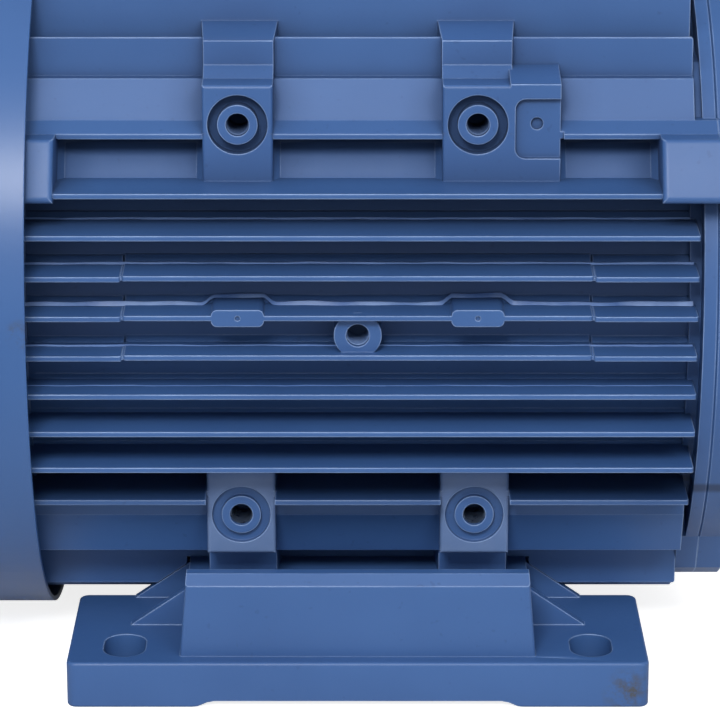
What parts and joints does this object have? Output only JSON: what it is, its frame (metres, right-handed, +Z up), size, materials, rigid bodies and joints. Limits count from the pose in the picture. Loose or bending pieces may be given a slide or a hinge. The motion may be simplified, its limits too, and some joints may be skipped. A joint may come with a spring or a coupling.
{
  "type": "three-phase electric motor",
  "caption": "Foot-mounted three-phase induction motor with a finned die-cast frame, side mounting pads, bolt-on feet, fan cowl, terminal box and keyed shaft.",
  "frame": {"origin": "on the base plane, amid the four foot slots, under the shaft axis", "axes": "+X along the shaft to the drive end, +Z up, so the camera side of the picture is -Y"},
  "size_m": [0.4, 0.2234, 0.2698],
  "materials": {
    "painted_casting": "satin blue paint over die-cast aluminium",
    "painted_sheet": "satin blue paint over pressed steel",
    "lamination_steel": "stacked laminations",
    "copper": "varnished enamelled copper",
    "insulation": "glass-reinforced insulation",
    "bearing_steel": "ground",
    "shaft_steel": "turned and ground",
    "cast_cage": "as cast",
    "fan_plastic": "moulded",
    "zinc_steel": "zinc plated",
    "spring_steel": "blued",
    "rubber_seal": "matt",
    "terminal_brass": "plain",
    "board_plastic": "moulded",
    "gland_plastic": "moulded"
  },
  "bodies": {
    "motor_housing": {"stator_frame": "painted_casting", "stator_core": "lamination_steel", "stator_winding": "copper", "slot_wedges": "insulation", "drive_end_shield": "painted_casting", "fan_end_shield": "painted_casting", "drive_end_shield_bolts": "zinc_steel", "fan_end_shield_bolts": "zinc_steel", "drive_bearing_outer_ring": "bearing_steel", "drive_bearing_covers": "bearing_steel", "drive_bearing_circlip": "spring_steel", "fan_bearing_outer_ring": "bearing_steel", "fan_bearing_covers": "bearing_steel", "preload_spring": "spring_steel", "fan_cowl": "painted_sheet", "fan_cowl_screws": "zinc_steel", "near_foot": "painted_casting", "far_foot": "painted_casting", "foot_bolts": "zinc_steel", "foot_washers": "zinc_steel", "terminal_box_gasket": "rubber_seal", "terminal_box": "painted_casting", "terminal_box_screws": "zinc_steel", "terminal_lid_gasket": "rubber_seal", "terminal_lid": "painted_casting", "terminal_lid_screws": "zinc_steel", "terminal_board": "board_plastic", "terminal_board_screws": "zinc_steel", "terminal_studs": "terminal_brass", "terminal_links": "terminal_brass", "terminal_nuts": "terminal_brass", "earth_screw": "terminal_brass", "cable_gland_body": "gland_plastic", "cable_gland_seal": "rubber_seal", "cable_gland_nut": "gland_plastic", "blanking_plug": "gland_plastic"},
    "rotor": {"shaft": "shaft_steel", "rotor_core": "lamination_steel", "rotor_cage": "cast_cage", "drive_bearing_inner_ring": "bearing_steel", "fan_bearing_inner_ring": "bearing_steel", "cooling_fan": "fan_plastic", "fan_circlip": "spring_steel", "drive_end_v_ring": "rubber_seal", "fan_end_v_ring": "rubber_seal"},
    "drive_bearing_rollers": {"drive_bearing_cage": "bearing_steel"},
    "fan_bearing_rollers": {"fan_bearing_cage": "bearing_steel"}
  },
  "joints": [
    {"name": "rotor_spin", "type": "hinge", "parent": "motor_housing", "child": "rotor", "pos_m": [0, 0, 0.112], "axis": [1, 0, 0], "continuous": true},
    {"name": "drive_bearing_orbit", "type": "hinge", "parent": "motor_housing", "child": "drive_bearing_rollers", "pos_m": [0.12, 0, 0.112], "axis": [1, 0, 0], "continuous": true},
    {"name": "fan_bearing_orbit", "type": "hinge", "parent": "motor_housing", "child": "fan_bearing_rollers", "pos_m": [-0.12, 0, 0.112], "axis": [1, 0, 0], "continuous": true}
  ],
  "couplings": [
    {"joint": "drive_bearing_orbit", "follows": "rotor_spin", "ratio": 0.3965},
    {"joint": "fan_bearing_orbit", "follows": "rotor_spin", "ratio": 0.3965}
  ]
}
